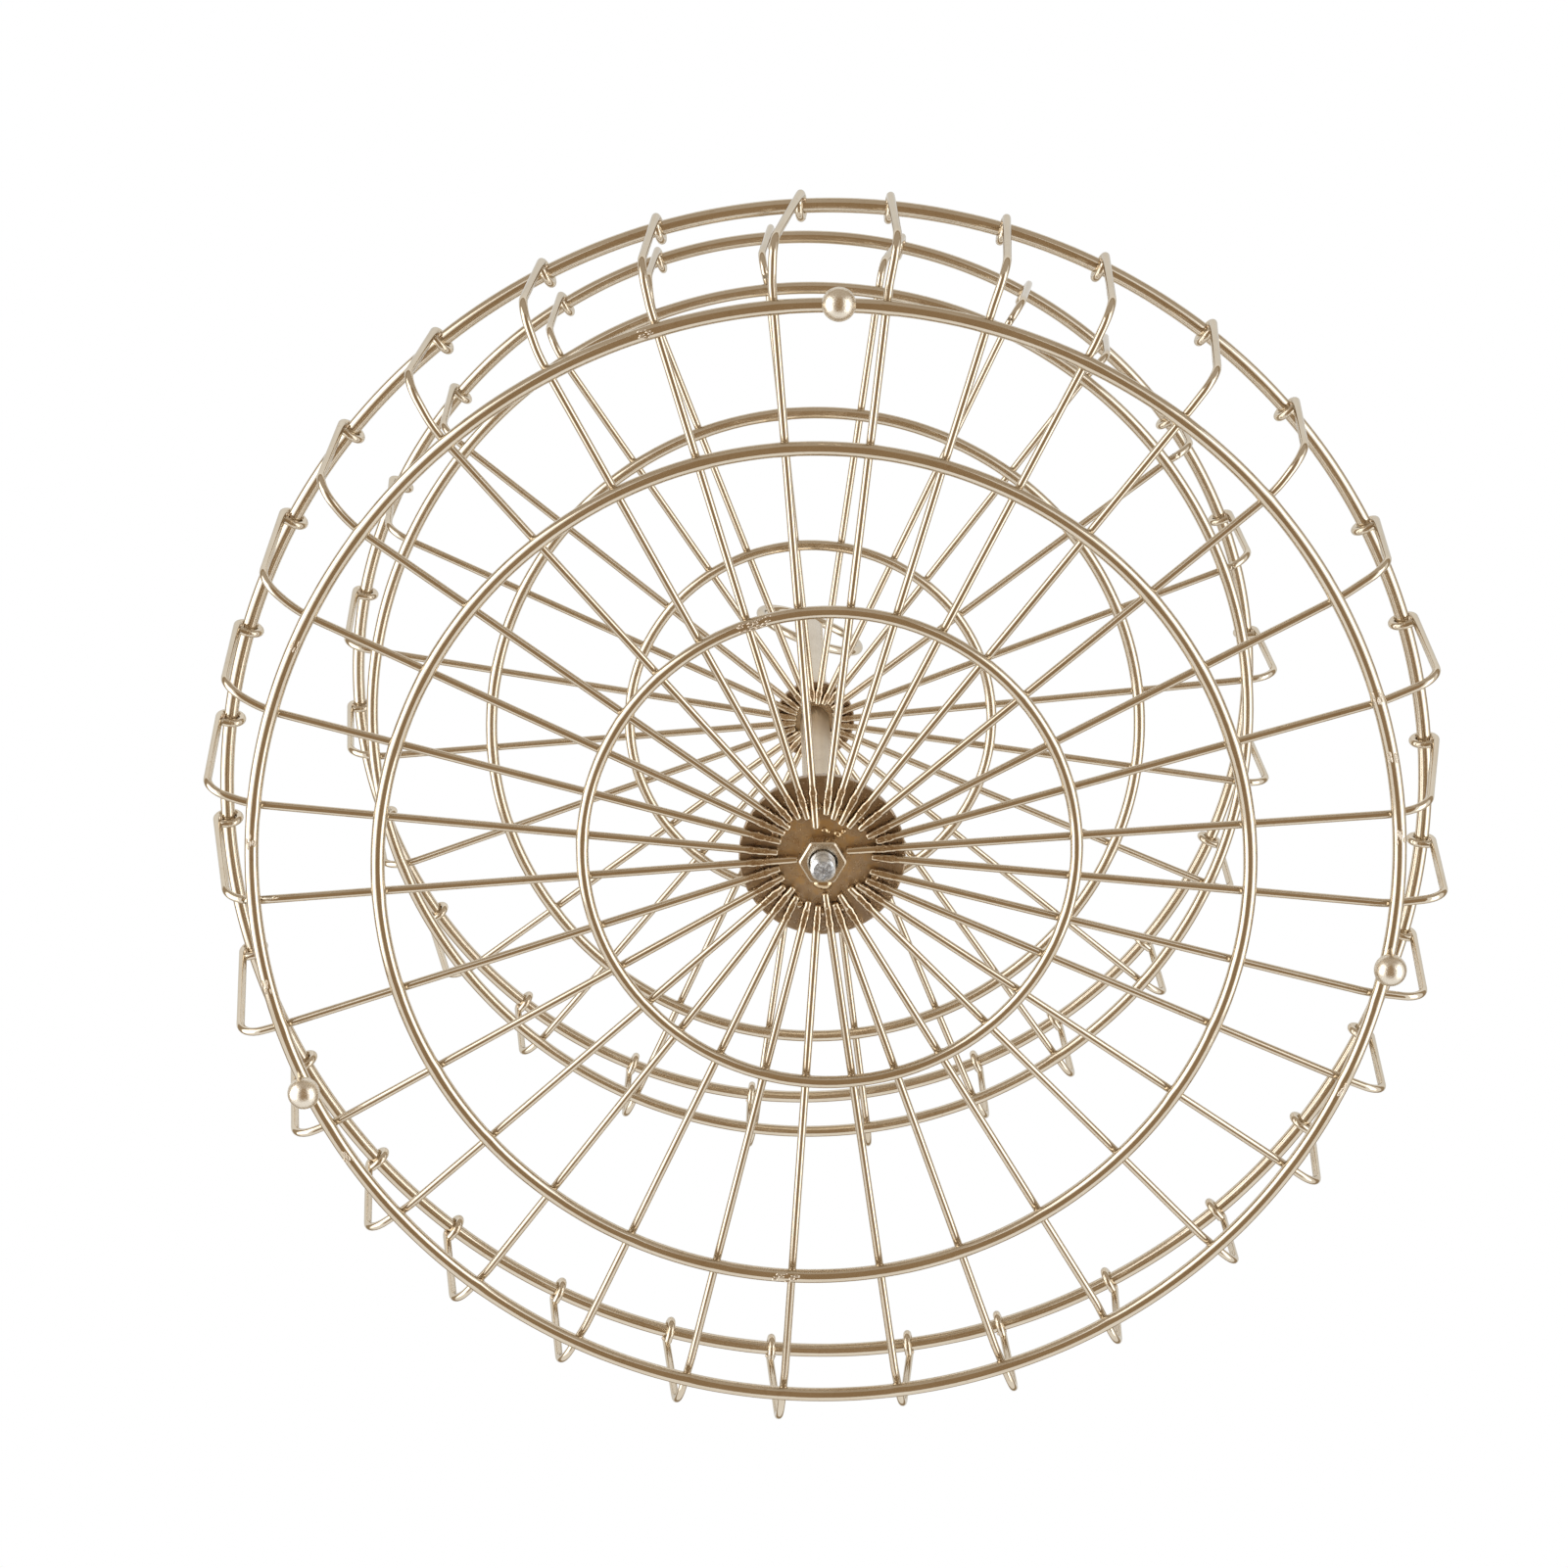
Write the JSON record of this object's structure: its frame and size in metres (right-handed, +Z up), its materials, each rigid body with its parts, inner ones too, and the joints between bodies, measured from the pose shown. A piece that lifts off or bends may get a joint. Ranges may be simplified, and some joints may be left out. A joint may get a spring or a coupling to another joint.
{
  "type": "two-tier fruit basket",
  "caption": "Two round wire trays, one above the other on a central post, with a swinging ring handle on top and small ball feet below.",
  "frame": {"origin": "on the post's axis, on the surface that the feet stand on", "axes": "+Z up along the post; +X along the axis that the ring handle swings about; the handle's ring stands in the XZ plane"},
  "size_m": [0.3079, 0.3075, 0.2545],
  "materials": {
    "gold_wire": "glossy champagne gold lacquer over welded steel wire, darker and browner in reflections",
    "gold_hub": "heat-darkened glossy gold lacquer",
    "gold_post": "champagne gold with fine lengthwise brushing",
    "gold_nut": "glossy gold with bright edges",
    "zinc_rod": "bright zinc plate"
  },
  "bodies": {
    "basket": {"lower_hub_disc": "gold_hub", "upper_hub_disc": "gold_hub", "lower_post_tube": "gold_post", "upper_post_rod": "gold_post", "tie_rod": "zinc_rod", "hex_nut": "gold_nut", "lower_inner_floor_ring": "gold_wire", "lower_middle_floor_ring": "gold_wire", "lower_outer_floor_ring": "gold_wire", "lower_rim_ring": "gold_wire", "upper_inner_floor_ring": "gold_wire", "upper_middle_floor_ring": "gold_wire", "upper_outer_floor_ring": "gold_wire", "upper_rim_ring": "gold_wire", "ball_foot_1": "gold_wire", "ball_foot_2": "gold_wire", "ball_foot_3": "gold_wire", "lower_rib_pair_01": "gold_wire", "lower_rib_pair_02": "gold_wire", "lower_rib_pair_03": "gold_wire", "lower_rib_pair_04": "gold_wire", "lower_rib_pair_05": "gold_wire", "lower_rib_pair_06": "gold_wire", "lower_rib_pair_07": "gold_wire", "lower_rib_pair_08": "gold_wire", "lower_rib_pair_09": "gold_wire", "lower_rib_pair_10": "gold_wire", "lower_rib_pair_11": "gold_wire", "lower_rib_pair_12": "gold_wire", "lower_rib_pair_13": "gold_wire", "lower_rib_pair_14": "gold_wire", "lower_rib_pair_15": "gold_wire", "lower_rib_pair_16": "gold_wire", "upper_rib_01": "gold_wire", "upper_rib_02": "gold_wire", "upper_rib_03": "gold_wire", "upper_rib_04": "gold_wire", "upper_rib_05": "gold_wire", "upper_rib_06": "gold_wire", "upper_rib_07": "gold_wire", "upper_rib_08": "gold_wire", "upper_rib_09": "gold_wire", "upper_rib_10": "gold_wire", "upper_rib_11": "gold_wire", "upper_rib_12": "gold_wire", "upper_rib_13": "gold_wire", "upper_rib_14": "gold_wire", "upper_rib_15": "gold_wire", "upper_rib_16": "gold_wire", "upper_rib_17": "gold_wire", "upper_rib_18": "gold_wire", "upper_rib_19": "gold_wire", "upper_rib_20": "gold_wire", "upper_rib_21": "gold_wire", "upper_rib_22": "gold_wire", "upper_rib_23": "gold_wire", "upper_rib_24": "gold_wire"},
    "handle": {"ring_handle": "gold_wire"}
  },
  "joints": [
    {"name": "handle_swing", "type": "hinge", "parent": "basket", "child": "handle", "pos_m": [0, 0, 0.22068], "axis": [1, 0, 0], "range_deg": [-168, 168]}
  ]
}
